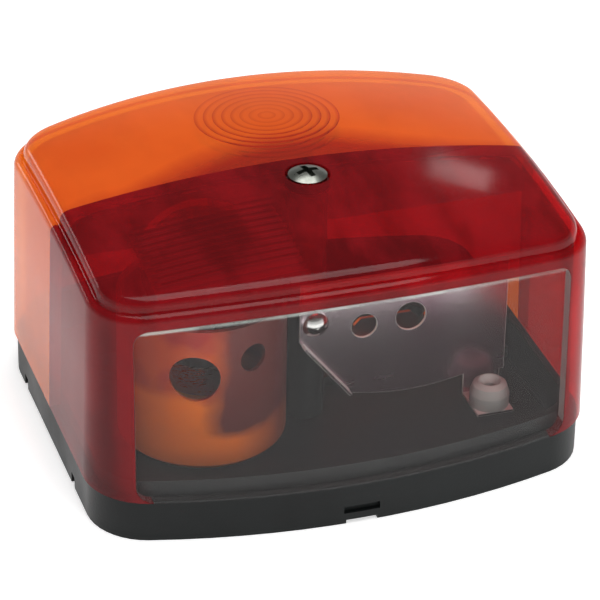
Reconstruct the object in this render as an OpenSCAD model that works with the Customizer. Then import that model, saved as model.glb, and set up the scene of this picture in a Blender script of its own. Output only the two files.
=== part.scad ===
// Rear combination lamp: black base, two-colour domed lens with a clear plate window, two bayonet bulbs.
// It lies on its mounting face (z = 0). The window looks towards -Y, the amber half towards +Y.

/* [Overall] */
// Width of the lens along X
lamp_w = 106; // [100:1:116]
// Depth of the lens along Y
lamp_d = 93.5; // [90:0.5:102]
// Height of the dome's top above the mounting face
lamp_h = 59.4; // [58.4:0.2:66]
// How far the front and back sides bow out between the corners
side_bow = 8.8; // [4:0.2:12]
// Radius of the lens corners in plan
corner_r = 13.5; // [10:0.5:17]

/* [Base] */
// Height of the ledge that the lens stands on
seat_z = 9.3; // [8:0.1:12]
// How far the base wall stays inside the lens outline
base_inset = 0.7; // [0.2:0.1:1.4]
// Thickness of the base floor
floor_t = 2; // [1.6:0.1:3]
// Depth of the open pockets in the back of the base
back_pocket = 1.2; // [0.8:0.1:2]
// Height of the upstand above the lens seat
upstand_h = 3.5; // [2:0.1:6]
// Thickness of the upstand
upstand_t = 1.6; // [1.2:0.1:2.4]
// Clearance between the upstand and the lens wall
upstand_gap = 0.3; // [0.2:0.05:0.6]
// Diameter of the screw pillar
pillar_d = 8.5; // [7.5:0.1:9.5]
// Height of the pillar's top, where the lens tube stands on it
pillar_top = 31; // [29:0.5:36]
// Diameter of the mounting holes
mount_hole_d = 5.2; // [4:0.1:6]
// Distance between the mounting holes
mount_spacing = 68; // [64:1:74]
// Y place of the mounting holes
mount_y = 20; // [18:0.5:22]
// Height of the mounting bosses
mount_boss_h = 5; // [4:0.1:7]
// Width of the drain notch in the front wall
drain_w = 6.6; // [3:0.1:10]

/* [Lens] */
// Wall thickness of the lens
lens_wall = 2.4; // [2:0.1:3]
// Draft of the lens walls, in mm for each mm of height
lens_draft = 0.022; // [0:0.001:0.04]
// Radius of the dome across the width
crown_r_x = 265; // [220:5:400]
// Radius of the dome from front to back
crown_r_y = 331; // [250:1:450]
// How far the wall's shoulder lies below the dome
shoulder_drop = 2.5; // [1.5:0.1:4]
// Distance from the shoulder's outer edge in to the raised cap
cap_inset = 2; // [1.8:0.1:3]
// Y place of the seam between the red and the amber half
seam_y = -1; // [-2:0.1:1]
// Depth of the rib that parts the red light from the amber
rib_h = 12; // [4:0.5:16]
// Thickness of the dividing rib
rib_t = 1.6; // [1.2:0.1:2.4]

/* [Window] */
// Width of the lens frame at each side of the window
window_side = 7.65; // [6:0.05:12]
// Corner radius of the window
window_r = 3.5; // [2:0.1:6]
// Height of the red border between window and shoulder
window_border = 2.7; // [2:0.1:8]
// Joint gap round the window
window_gap = 0.1; // [0.05:0.01:0.2]

/* [Lens optics] */
// Number of moulded rings under the amber dome
ring_count = 8; // [4:1:9]
// Radial pitch of the rings
ring_pitch = 1.9; // [1.4:0.1:2]
// Height of each ring's step
ring_step = 0.9; // [0.5:0.1:1.2]
// Number of prism ridges under the red dome
ridge_count = 11; // [4:1:12]
// Pitch of the prism ridges
ridge_pitch = 2.2; // [1.5:0.1:2.4]
// Length of the prism ridges
ridge_len = 30; // [20:1:32]

/* [Lens screw] */
// Y place of the lens screw
screw_y = -7.6; // [-9:0.1:-7]
// Head diameter of the lens screw
head_d = 8; // [7:0.1:8.4]
// Head height of the lens screw
head_h = 2.4; // [2:0.1:3]
// Shank diameter of the lens screw
shank_d = 4; // [3.5:0.1:4.4]
// How far the head stands above the dome
head_proud = 0.95; // [0.5:0.05:1.4]
// Length of the shank below the head
shank_len = 40; // [34:1:44]
// Thickness of the washer under the head
washer_t = 0.7; // [0.5:0.1:1]

/* [Bulbs] */
// Largest diameter of the bulb glass
glass_d = 25; // [22:0.5:26]
// Clearance between a bulb's top and the dome above it
bulb_headroom = 2.4; // [1.5:0.1:6]
// Diameter of the bayonet cap
cap_d = 15; // [14.6:0.1:15.2]
// Length of the bayonet cap
cap_len = 18; // [16:0.5:20]
// Y place of the indicator bulb, under the middle of the rings
indicator_y = 19.7; // [18:0.1:22]
// Y place of the stop and tail bulb and its cup
stop_y = -7.5; // [-9:0.1:-6]

/* [Sockets] */
// Clearance between socket and bulb cap
socket_gap = 0.2; // [0.1:0.05:0.4]
// Thickness of the socket's sheet
socket_t = 1; // [0.6:0.1:1.2]
// Height of the socket above the floor
socket_h = 12; // [9:0.5:14]
// Diameter of the socket's flange
flange_d = 23; // [21:0.5:24]
// Thickness of the contact discs
disc_t = 1; // [0.8:0.1:1.4]

/* [Reflector cup] */
// Outer diameter of the cup
cup_d = 35; // [31:0.5:35]
// Clearance between the cup and the screw pillar
cup_gap = 0.4; // [0.3:0.05:1.5]
// Clearance between the cup's rim and the dividing rib above it
cup_headroom = 8.8; // [1:0.2:14]
// Thickness of the cup's sheet
cup_t = 0.8; // [0.6:0.1:1.2]
// Diameter of the large opening in the cup's wall
cup_hole_a = 10.4; // [6:0.2:12]
// Diameter of the small opening in the cup's wall
cup_hole_b = 6.2; // [4:0.2:8]

/* [Glare plate] */
// Thickness of the plate
plate_t = 0.6; // [0.5:0.1:1]
// Distance from the plate's right edge out to the lens's side
plate_side = 10; // [9:0.5:15]
// Height of the plate's top edge
plate_top = 36; // [34:0.5:40]
// Height of the plate's lower edge at its right corner
plate_low = 8.4; // [7:0.1:10]
// Width of the bright flange along the sloping edge
plate_flange = 2; // [1:0.1:3]

/* [Wiring] */
// Outer diameter of the cable that the grommet takes
cable_d = 6; // [5:0.1:7]
// Diameter of the grommet hole in the floor
grommet_hole_d = 10; // [9:0.1:12]
// X place of the cable entry
grommet_x = 19; // [17:0.5:24]
// Distance from the cable entry out to the lens's back
grommet_back = 13.75; // [13.25:0.25:16.75]
// Width of the blade terminals and of the earth strip
blade_w = 6.3; // [4.8:0.1:6.3]
// Height of the blade terminals
blade_h = 9; // [6:0.5:12]

/* [Hidden] */

// Round parts are drawn this finely
$fn = 48;
// A cut reaches this far past the surface it opens
eps = 0.5;

// Plan of the lamp: bowed front and back, straight sides, round corners
half_w = lamp_w / 2;
half_d = lamp_d / 2;
bow_r = (half_w * half_w + side_bow * side_bow) / (2 * side_bow);
corner_x = half_w - corner_r;
bow_angle = asin(corner_x / (bow_r - corner_r));
corner_y = bow_r - half_d - sqrt(pow(bow_r - corner_r, 2) - corner_x * corner_x);
bow_steps = 7;
corner_steps = 9;
plan_angles = concat(
    [for (i = [0 : bow_steps - 1]) bow_angle * i / bow_steps],
    [for (i = [0 : corner_steps]) bow_angle + (90 - bow_angle) * i / corner_steps]
);

// Places that follow the lamp's sides
window_w = lamp_w - 2 * window_side;
plate_right = half_w - plate_side;
grommet_y = half_d - grommet_back;
stop_x = -(pillar_d / 2 + cup_gap + cup_d / 2);

// Heights
floor_z = back_pocket + floor_t;
wall_inset = lens_draft * (lamp_h - seat_z);
ledge_in = lens_wall + upstand_gap;
head_under = crown([0, screw_y]) + head_proud - head_h;
washer_under = head_under - washer_t;
tube_hole_d = shank_d + 0.5;
pilot_d = shank_d + 0.1;
pillar_front = screw_y - pillar_d / 2;
seal_w = 0.7 * (lens_wall - base_inset);
seal_in = (base_inset + lens_wall - seal_w) / 2;
seal_depth = 1.2;

// Small notches in the lower edge of the side walls
side_notch_ys = [-17, 22];

// Bulbs and sockets
lip_z = 0.8;
disc_z = lip_z + socket_t;
disc_d = cap_d + 2 * socket_gap - 0.2;
stud_h = 0.6;
stud_d = 3.4;
bulb_z = disc_z + disc_t + stud_h;
bulb_len = crown([stop_x, stop_y]) - lens_wall - bulb_headroom - bulb_z;
globe_z = bulb_z + bulb_len - glass_d / 2;
neck_z = bulb_z + cap_len - 5;
filament_rise = 2.3;
second_filament_drop = 1.7;
socket_d = cap_d + 2 * (socket_gap + socket_t);
socket_hole_d = socket_d + 0.2;
pin_z = bulb_z + 8.5;
pin_d = 2;
pin_reach = 1;

// Reflector cup
cup_bottom = floor_z;
rib_low = crown([0, 0]) - lens_wall - rib_h;
cup_h = rib_low - cup_headroom - cup_bottom;
cup_hole_a_z = cup_bottom + cup_h - 11;
cup_hole_a_angle = -21.3;
cup_hole_b_z = cup_bottom + cup_h - 7.9;
cup_hole_b_angle = 20.2;

// Glare plate
plate_y = pillar_front - plate_t;
plate_left = -2.6;
plate_slope_x = 8.6;
plate_slope_z = 22.4;
plate_sag = 1.5;
plate_hole_a = [11.4, 24.3, 5.6];
plate_hole_b = [21.6, 24.9, 6.6];
foot_w = 9;
foot_len = 9;
rivet_x = 0.6;
rivet_z = 26.6;
rivet_head_d = 5.6;
rivet_head_h = 2;
rivet_shank_d = 2.4;
eyelet_x = plate_right - (foot_w + 1) / 2;
eyelet_y = plate_y - foot_len / 2 - 0.5;
eyelet_d = 8.4;
eyelet_h = 5.5;
eyelet_bore = 3;

// Wiring on the floor
strip_t = 0.6;
blade_t = 0.8;
earth_end = -25.4;
earth_rivet_x = -18;
blade_xs = [20, 28, 36];
blade_y = 9;
terminal_foot = 6.5;
rivet_d = 3;
small_head_d = 4.6;
small_head_h = 1;
grommet_flange = 2.4;
grommet_lip = 1;

function crown(p) = lamp_h - p[0] * p[0] / (2 * crown_r_x) - p[1] * p[1] / (2 * crown_r_y);

// Point of the plan at an angle from -Y towards +X, moved inwards by inset
function plan_point(a, inset) =
    a < bow_angle
        ? [(bow_r - inset) * sin(a), bow_r - half_d - (bow_r - inset) * cos(a)]
        : [corner_x + (corner_r - inset) * sin(a), corner_y - (corner_r - inset) * cos(a)];

// Front edge of the plan from its left side to its right side
function front_edge(inset) = concat(
    [for (i = [len(plan_angles) - 1 : -1 : 1])
        let (p = plan_point(plan_angles[i], inset))
        [-p[0], p[1]]],
    [for (a = plan_angles) plan_point(a, inset)]
);

function turned(points) = [for (p = points) -p];

function whole_plan(inset) = concat(front_edge(inset), turned(front_edge(inset)));

// Edge of one half of the lens: side -1 is the red front, side 1 the amber back
function half_edge(side, inset) = concat(
    [[side * (half_w - inset), seam_y]],
    side < 0 ? front_edge(inset) : turned(front_edge(inset)),
    [[-side * (half_w - inset), seam_y]]
);

// Rings of the outer skin as [inset, drop below the dome]: wall, round shoulder, groove, raised cap
outer_levels = [
    [wall_inset, shoulder_drop + 1.2],
    [wall_inset + 0.35, shoulder_drop + 0.35],
    [wall_inset + 1.2, shoulder_drop],
    [wall_inset + cap_inset - 0.4, shoulder_drop + 0.35],
    [wall_inset + cap_inset, shoulder_drop],
    [wall_inset + cap_inset + 0.15, 1.2],
    [wall_inset + cap_inset + 0.6, 0.45],
    [wall_inset + cap_inset + 1.4, 0.1],
    [wall_inset + cap_inset + 2.6, 0]
];
cap_edge = wall_inset + cap_inset + 2.6;

// Rings of the inner skin: a rounded corner one wall thickness inside
inner_steps = len(outer_levels) - 1;
inner_levels = [
    for (i = [0 : inner_steps])
        let (a = 90 * i / inner_steps, from = wall_inset + lens_wall, to = cap_edge + 0.8)
        [from + (to - from) * (1 - cos(a)), lens_wall + (shoulder_drop + 0.6) * (1 - sin(a))]
];
dome_scales = [0.8, 0.6, 0.4, 0.2];

function skin(side, seat_inset, levels, dome_drop) = concat(
    [[for (p = half_edge(side, seat_inset)) [p[0], p[1], seat_z]]],
    [for (l = levels) [for (p = half_edge(side, l[0])) [p[0], p[1], crown(p) - l[1]]]],
    [for (f = dome_scales) [for (q = half_edge(side, levels[len(levels) - 1][0]))
        let (p = [q[0] * f, seam_y + (q[1] - seam_y) * f]) [p[0], p[1], crown(p) - dome_drop]]]
);

function flat_list(rows) = [for (r = rows) for (p = r) p];

// One half of the lens shell as a loft of rings, closed along the seam and under the seat
module lens_half(side) {
    outer = skin(side, 0, outer_levels, 0);
    inner = skin(side, lens_wall, inner_levels, lens_wall);
    n = len(outer[0]);
    k = len(outer);
    base = n * k;
    top_out = 2 * base;
    top_in = top_out + 1;
    centre = [0, seam_y];
    points = concat(
        flat_list(outer),
        flat_list(inner),
        [[0, seam_y, crown(centre)], [0, seam_y, crown(centre) - lens_wall]]
    );
    quads = concat(
        [for (r = [0 : k - 2]) for (u = [0 : n - 2])
            [r * n + u, (r + 1) * n + u, (r + 1) * n + u + 1, r * n + u + 1]],
        [for (r = [0 : k - 2]) for (u = [0 : n - 2])
            [base + r * n + u, base + r * n + u + 1, base + (r + 1) * n + u + 1, base + (r + 1) * n + u]],
        [for (u = [0 : n - 2]) [u, u + 1, base + u + 1, base + u]],
        [for (r = [0 : k - 2]) [(r + 1) * n, r * n, base + r * n, base + (r + 1) * n]],
        [for (r = [0 : k - 2])
            [r * n + n - 1, (r + 1) * n + n - 1, base + (r + 1) * n + n - 1, base + r * n + n - 1]],
        [[top_out, (k - 1) * n, base + (k - 1) * n, top_in],
            [(k - 1) * n + n - 1, top_out, top_in, base + (k - 1) * n + n - 1]]
    );
    caps = concat(
        [for (u = [0 : n - 2]) [(k - 1) * n + u, top_out, (k - 1) * n + u + 1]],
        [for (u = [0 : n - 2]) [base + (k - 1) * n + u, base + (k - 1) * n + u + 1, top_in]]
    );
    triangles = [for (q = quads) each [[q[0], q[1], q[2]], [q[0], q[2], q[3]]]];
    polyhedron(points = points, faces = concat(triangles, caps), convexity = 8);
}

// Height of the window's top edge at a place across the front
function window_top(x) = crown([x, half_d - x * x / (2 * bow_r) - wall_inset]) - shoulder_drop - window_border;

// Outline of the window in X and Z: round corners below, an arched edge above
function window_outline(shrink) =
    let (w = window_w / 2 - shrink, r = window_r - shrink, low = seat_z + shrink - 0.01)
    concat(
        [for (a = [270 : 15 : 360]) [w - r + r * cos(a), low + r + r * sin(a)]],
        [for (a = [0 : 15 : 75]) [w - r + r * cos(a), window_top(w - r) - shrink - r + r * sin(a)]],
        [for (i = [-6 : 6]) [-i / 6 * (w - r), window_top(i / 6 * (w - r)) - shrink]],
        [for (a = [105 : 15 : 180]) [-w + r + r * cos(a), window_top(w - r) - shrink - r + r * sin(a)]],
        [for (a = [180 : 15 : 255]) [-w + r + r * cos(a), low + r + r * sin(a)]]
    );

module window_prism(shrink) {
    translate([0, -half_d / 2, 0])
        rotate([90, 0, 0])
            linear_extrude(height = half_d)
                polygon(window_outline(shrink));
}

module slab(outer_inset, inner_inset, z, h) {
    translate([0, 0, z])
        linear_extrude(height = h)
            difference() {
                polygon(whole_plan(outer_inset));
                polygon(whole_plan(inner_inset));
            }
}

module disc(d, z, h) {
    translate([0, 0, z])
        cylinder(d = d, h = h);
}

module ring(d_out, d_in, z, h) {
    difference() {
        disc(d_out, z, h);
        disc(d_in, z - eps, h + 2 * eps);
    }
}

module mount_places() {
    for (s = [-1, 1])
        translate([s * mount_spacing / 2, mount_y, 0])
            children();
}

module at_indicator() {
    translate([0, indicator_y, 0])
        children();
}

module at_stop() {
    translate([stop_x, stop_y, 0])
        children();
}

module at_grommet() {
    translate([grommet_x, grommet_y, 0])
        children();
}

// Clearance hole of a small rivet's shank in the floor
module rivet_holes() {
    for (p = rivet_places)
        translate([p[0], p[1], 0])
            disc(rivet_d + 0.1, -eps, floor_z + 2 * eps);
}

earth_rivets = [[earth_rivet_x, indicator_y]];
blade_rivets = [for (x = blade_xs) [x, blade_y - terminal_foot / 2 - 0.5]];
rivet_places = concat(earth_rivets, blade_rivets);

module base_tray() {
    bar = 2.2;
    boss_d = mount_hole_d + 6;
    color([0.1, 0.11, 0.11])
    difference() {
        union() {
            slab(base_inset, ledge_in + upstand_t, 0, seat_z);
            slab(ledge_in, ledge_in + upstand_t, 0, seat_z + upstand_h);
            translate([0, 0, back_pocket])
                linear_extrude(height = floor_t)
                    polygon(whole_plan(ledge_in));
            translate([-bar / 2, -half_d + ledge_in, 0])
                cube([bar, lamp_d - 2 * ledge_in, floor_z]);
            translate([-half_w + ledge_in, seam_y - bar / 2, 0])
                cube([lamp_w - 2 * ledge_in, bar, floor_z]);
            translate([0, screw_y, 0])
                disc(pillar_d, 0, pillar_top);
            translate([0, screw_y, 0])
                disc(pillar_d + 4, 0, floor_z);
            mount_places()
                disc(boss_d, 0, mount_boss_h);
            at_indicator()
                disc(flange_d, 0, floor_z);
            at_stop()
                disc(flange_d, 0, floor_z);
            at_grommet()
                disc(grommet_hole_d + 6, back_pocket, floor_t);
            translate([pillar_d / 2 + 1, seam_y, 0])
                cube([half_w - ledge_in - pillar_d / 2 - 1, bar * 0.6, floor_z + 2.4]);
        }
        slab(seal_in - 0.05, seal_in + seal_w + 0.05, seat_z - seal_depth, seal_depth + eps);
        translate([0, screw_y, 0])
            disc(pilot_d, head_under - shank_len - 1, pillar_top);
        mount_places()
            disc(mount_hole_d, -eps, mount_boss_h + 2 * eps);
        at_indicator()
            disc(socket_hole_d, -eps, floor_z + 2 * eps);
        at_stop()
            disc(socket_hole_d, -eps, floor_z + 2 * eps);
        at_grommet()
            disc(grommet_hole_d, -eps, floor_z + 2 * eps);
        rivet_holes();
        translate([eyelet_x, eyelet_y, 0])
            disc(eyelet_d - 3.4, -eps, floor_z + 2 * eps);
        translate([rivet_x, pillar_front - eps, rivet_z])
            rotate([-90, 0, 0])
                disc(rivet_shank_d + 0.1, 0, eps + 1.9);
        translate([-drain_w / 2, -half_d - eps, -eps])
            cube([drain_w, ledge_in + upstand_t + 1, eps + 0.8]);
        translate([-drain_w / 2 - 0.5, -half_d - eps, 2.4])
            cube([drain_w + 1, base_inset + eps + 1.1, 1.6]);
        for (s = [-1, 1])
            for (y = side_notch_ys)
                translate([s * (half_w - base_inset) - 1.1, y - 1.2, -eps])
                    cube([2.2, 2.4, eps + 2.4]);
    }
}

module lens_seal() {
    color([0.07, 0.07, 0.07])
        slab(seal_in, seal_in + seal_w, seat_z - seal_depth, seal_depth);
}

// Rings like those of a stepped lens, tilted to lie along the dome's underside
module amber_rings() {
    tilt = asin(indicator_y / crown_r_y);
    embed = 0.9;
    translate([0, indicator_y, crown([0, indicator_y]) - lens_wall])
        rotate([-tilt, 0, 0])
            rotate_extrude()
                polygon(concat(
                    [[0, embed], [0, -ring_step * 0.4]],
                    [for (i = [1 : ring_count]) each [
                        [i * ring_pitch, i == 1 ? -ring_step * 0.4 : 0],
                        [i * ring_pitch, i == ring_count ? 0 : -ring_step]
                    ]],
                    [[ring_count * ring_pitch, embed]]
                ));
}

module amber_lens() {
    color([0.9, 0.36, 0.08, 0.9])
    union() {
        lens_half(1);
        amber_rings();
    }
}

// Parallel prism ridges under the red dome, tilted to lie along it
module red_ridges() {
    pad = [-24, -24];
    width = ridge_count * ridge_pitch;
    embed = 1.1;
    translate([pad[0], pad[1], crown(pad) - lens_wall])
        rotate([-asin(pad[1] / crown_r_y), asin(pad[0] / crown_r_x), 0])
            translate([-ridge_len / 2, -width / 2, 0])
                rotate([90, 0, 90])
                    linear_extrude(height = ridge_len)
                        polygon(concat(
                            [[0, embed]],
                            [for (i = [0 : ridge_count - 1]) each [
                                [i * ridge_pitch, 0],
                                [(i + 0.5) * ridge_pitch, -0.9]
                            ]],
                            [[width, 0], [width, embed]]
                        ));
}

// Rib along the seam that keeps the red light out of the amber half, arched over the stop bulb
module dividing_rib() {
    reach = half_w - wall_inset - lens_wall / 2;
    translate([0, seam_y - 0.1, 0])
        rotate([90, 0, 0])
            difference() {
                linear_extrude(height = rib_t)
                    polygon(concat(
                        [[reach, rib_low], [reach, crown([reach, 0]) - lens_wall - 1.5]],
                        [for (i = [8 : -1 : -8]) [i / 10 * reach, crown([i / 10 * reach, 0]) - lens_wall / 2]],
                        [[-reach, crown([reach, 0]) - lens_wall - 1.5], [-reach, rib_low]]
                    ));
                translate([stop_x, globe_z, 0])
                    disc(glass_d + 1.6, -eps, rib_t + 2 * eps);
            }
}

module red_lens() {
    color([0.6, 0.05, 0.07, 0.9])
    difference() {
        union() {
            lens_half(-1);
            dividing_rib();
            red_ridges();
            translate([0, screw_y, 0])
                disc(pillar_d, pillar_top, washer_under - pillar_top + 0.3);
        }
        window_prism(0);
        translate([0, screw_y, 0])
            disc(tube_hole_d, pillar_top - eps, lamp_h);
        translate([0, screw_y, 0])
            disc(head_d + 1.2, washer_under, lamp_h);
    }
}

module plate_window() {
    color([0.85, 0.9, 0.9, 0.4])
    intersection() {
        lens_half(-1);
        window_prism(window_gap);
    }
}

module cross_recess() {
    wing = head_d * 0.58;
    for (a = [0, 90])
        rotate([0, 0, a + 12])
            translate([-wing / 2, -0.6, head_under + head_h - 1.5])
                cube([wing, 1.2, 3]);
}

module lens_screw() {
    head_r = 1.05 * head_d;
    color([0.7, 0.71, 0.7])
    translate([0, screw_y, 0])
    difference() {
        union() {
            intersection() {
                disc(head_d, head_under, head_h);
                translate([0, 0, head_under + head_h - head_r])
                    sphere(r = head_r);
            }
            disc(shank_d, head_under - shank_len, shank_len);
        }
        cross_recess();
    }
}

module screw_washer() {
    color([0.12, 0.12, 0.12])
    translate([0, screw_y, 0])
        ring(head_d + 0.8, shank_d + 0.4, washer_under, washer_t);
}

// Half section of a pear shape from low upwards, no wider than the neck inside the cap
module pear_section(shrink, low) {
    r = glass_d / 2 - shrink;
    neck = cap_d / 2 - 1.1 - shrink;
    shoulder_z = globe_z - glass_d * 0.245;
    blend_z = neck_z + 0.377 * (shoulder_z - neck_z);
    rim_z = bulb_z + cap_len + 0.1 + shrink;
    top_z = globe_z + glass_d;
    intersection() {
        union() {
            translate([0, globe_z])
                circle(r = r);
            polygon([[0, low], [neck, low], [neck, blend_z], [r * 0.87, shoulder_z], [0, globe_z]]);
        }
        polygon([[0, low], [neck + 0.2, low], [neck + 0.2, rim_z], [r + 1, rim_z], [r + 1, top_z],
            [0, top_z]]);
    }
}

// Bulb glass, open at the bottom where the cap holds it
module bulb_glass() {
    wall = 0.8;
    rotate_extrude()
        difference() {
            pear_section(0, neck_z);
            pear_section(wall, neck_z - 1);
        }
}

// Bayonet cap: a cup with two side pins, a black insulator and its solder contacts
module bulb_cap(contact_xs) {
    wall = 0.5;
    union() {
        ring(cap_d, cap_d - 2 * wall, bulb_z + 1.6, cap_len - 1.6);
        disc(cap_d, bulb_z + 1.6, 2.2);
        disc(cap_d - 5, bulb_z + 0.6, 1.6);
        for (x = contact_xs)
            translate([x, 0, 0])
                disc(2.6, bulb_z, 1);
        for (s = [0, 1])
            translate([0, 0, pin_z])
                rotate([0, 90, 180 * s + 90])
                    disc(pin_d, cap_d / 2 - wall / 2, pin_reach + wall / 2);
    }
}

// Glass stem with two lead wires and a filament across them at each height
module filament_mount(heights, offsets) {
    stem_d = 5;
    wire_d = 0.7;
    stem_top = bulb_z + cap_len + 6;
    union() {
        disc(stem_d, bulb_z + 3.8, stem_top - bulb_z - 3.8);
        for (i = [0 : len(heights) - 1])
            translate([0, offsets[i], 0]) {
                for (s = [-1, 1])
                    translate([s * 2, 0, 0])
                        disc(wire_d, stem_top - 1, heights[i] - stem_top + 1);
                translate([-2.5, 0, heights[i] - 0.3])
                    rotate([0, 90, 0])
                        disc(0.9, 0, 5);
            }
    }
}

// Bayonet shell: tube with an inward lip below, a flange on the floor and two J-slots
module socket(flange_z) {
    slot_w = pin_d + 0.6;
    top = floor_z + socket_h;
    difference() {
        union() {
            ring(socket_d, cap_d + 2 * socket_gap, lip_z, top - lip_z);
            ring(socket_d, cap_d - 3.4, lip_z, socket_t);
            ring(flange_d, socket_d - 0.4, flange_z, socket_t);
        }
        for (s = [0, 1])
            rotate([0, 0, 180 * s]) {
                translate([-slot_w / 2, cap_d / 2 - 0.4, pin_z - pin_d / 2 - 0.3])
                    cube([slot_w, socket_t + 2, top]);
                translate([-slot_w / 2 - 3, cap_d / 2 - 1.4, pin_z - pin_d / 2 - 0.3])
                    cube([slot_w + 3, socket_t + 3, slot_w]);
            }
    }
}

module contact_disc(stud_xs) {
    difference() {
        disc(disc_d, disc_z, disc_t);
        for (x = stud_xs)
            translate([x, 0, 0])
                disc(2.1, disc_z - eps, disc_t + 2 * eps);
    }
}

single_contact = [0];
double_contact = [-3, 3];

module indicator_bulb_glass() {
    color([0.9, 0.93, 0.95, 0.4])
        at_indicator()
            bulb_glass();
}

module indicator_bulb_cap() {
    color([0.75, 0.72, 0.62])
        at_indicator()
            bulb_cap(single_contact);
}

module indicator_filament() {
    color([0.6, 0.6, 0.6])
        at_indicator()
            filament_mount([globe_z + filament_rise], [0]);
}

module indicator_socket() {
    color([0.72, 0.62, 0.35])
        at_indicator()
            socket(floor_z);
}

module indicator_contact_disc() {
    color([0.4, 0.25, 0.13])
        at_indicator()
            contact_disc(single_contact);
}

module stop_tail_bulb_glass() {
    color([0.9, 0.93, 0.95, 0.4])
        at_stop()
            bulb_glass();
}

module stop_tail_bulb_cap() {
    color([0.75, 0.72, 0.62])
        at_stop()
            bulb_cap(double_contact);
}

module stop_tail_filaments() {
    color([0.6, 0.6, 0.6])
        at_stop()
            filament_mount([globe_z + filament_rise, globe_z - second_filament_drop], [-0.9, 0.9]);
}

module stop_tail_socket() {
    color([0.72, 0.62, 0.35])
        at_stop()
            socket(floor_z + cup_t);
}

module stop_tail_contact_disc() {
    color([0.4, 0.25, 0.13])
        at_stop()
            contact_disc(double_contact);
}

// Spring contacts: a head under the bulb and a shank through the disc
module contact_studs() {
    color([0.75, 0.6, 0.3]) {
        at_indicator()
            for (x = single_contact)
                translate([x, 0, 0])
                    contact_stud();
        at_stop()
            for (x = double_contact)
                translate([x, 0, 0])
                    contact_stud();
    }
}

module contact_stud() {
    union() {
        disc(stud_d, disc_z + disc_t, stud_h);
        disc(2, disc_z - 0.6, disc_t + 1);
    }
}

// Round cup with a floor, a rolled rim and two openings in its wall
module stop_tail_reflector() {
    r = cup_d / 2;
    top = cup_bottom + cup_h;
    color([0.85, 0.55, 0.2])
    at_stop()
    difference() {
        union() {
            rotate_extrude()
                polygon([[socket_hole_d / 2, cup_bottom], [r - 1.2, cup_bottom], [r, cup_bottom + 1.2],
                    [r, top], [r - cup_t, top], [r - cup_t, cup_bottom + 1.4],
                    [r - 1.4, cup_bottom + cup_t], [socket_hole_d / 2, cup_bottom + cup_t]]);
            translate([0, 0, top - 0.6])
                rotate_extrude()
                    translate([r - cup_t, 0])
                        circle(d = 1.4);
        }
        rotate([0, 0, cup_hole_a_angle])
            translate([0, 0, cup_hole_a_z])
                rotate([90, 0, 0])
                    disc(cup_hole_a, r / 2, r);
        rotate([0, 0, cup_hole_b_angle])
            translate([0, 0, cup_hole_b_z])
                rotate([90, 0, 0])
                    disc(cup_hole_b, r / 2, r);
    }
}

// Outline of the plate in X and Z: a slope at the left and a bowed lower edge
function plate_outline() = concat(
    [[plate_left, plate_top], [plate_left, plate_slope_z]],
    [for (i = [0 : 8])
        let (f = i / 8, x = plate_slope_x + f * (plate_right - foot_w - plate_slope_x))
        [x, plate_low - plate_sag * sin(180 * f)]],
    [[plate_right, plate_low], [plate_right, plate_top]]
);

// Sheet bent forwards along the slope, seen edge on in X and Z
function flange_outline() =
    let (top = [plate_left, plate_slope_z], low = [plate_slope_x, plate_low],
        along = (low - top) / norm(low - top), in = [-along[1], along[0]],
        a = top + 0.7 * along - 0.15 * in, b = low - 0.7 * along - 0.15 * in)
    [a, b, b + plate_t * in, a + plate_t * in];

// Foot in Y and Z: down from the plate's lower edge, then forwards along the floor
function foot_outline() = [
    [plate_y - foot_len, floor_z], [plate_y + plate_t, floor_z], [plate_y + plate_t, plate_low + 1],
    [plate_y, plate_low + 1], [plate_y, floor_z + plate_t], [plate_y - foot_len, floor_z + plate_t]
];

module glare_plate() {
    color([0.75, 0.75, 0.74])
    difference() {
        union() {
            translate([0, plate_y + plate_t, 0])
                rotate([90, 0, 0])
                    linear_extrude(height = plate_t)
                        polygon(plate_outline());
            translate([0, plate_y + plate_t / 2, 0])
                rotate([90, 0, 0])
                    linear_extrude(height = plate_flange + plate_t / 2)
                        polygon(flange_outline());
            translate([plate_right - foot_w, 0, 0])
                rotate([90, 0, 90])
                    linear_extrude(height = foot_w - 1)
                        polygon(foot_outline());
        }
        for (h = [plate_hole_a, plate_hole_b, [rivet_x, rivet_z, rivet_shank_d + 0.1]])
            translate([h[0], plate_y - eps, h[1]])
                rotate([-90, 0, 0])
                    disc(h[2], 0, plate_t + 2 * eps);
        translate([eyelet_x, eyelet_y, 0])
            disc(eyelet_d - 3.4, floor_z - eps, plate_t + 2 * eps);
    }
}

module plate_rivet() {
    color([0.85, 0.85, 0.84])
    translate([rivet_x, plate_y, rivet_z])
        rotate([90, 0, 0])
            union() {
                intersection() {
                    disc(rivet_head_d, 0, rivet_head_h);
                    translate([0, 0, rivet_head_h - rivet_head_d * 0.62])
                        sphere(r = rivet_head_d * 0.62);
                }
                disc(rivet_shank_d, -plate_t - 1.8, plate_t + 2);
            }
}

module plate_eyelet() {
    shank = eyelet_d - 3.5;
    z = floor_z + plate_t;
    color([0.88, 0.88, 0.85])
    translate([eyelet_x, eyelet_y, 0])
        rotate_extrude()
            polygon([[eyelet_bore / 2, 0.2], [shank / 2, 0.2], [shank / 2, z], [eyelet_d / 2, z],
                [eyelet_d / 2, z + eyelet_h * 0.5], [eyelet_d / 2 - 0.6, z + eyelet_h * 0.85],
                [eyelet_d / 2 - 1.6, z + eyelet_h], [eyelet_bore / 2 + 0.8, z + eyelet_h],
                [eyelet_bore / 2, z + eyelet_h * 0.7]]);
}

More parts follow.
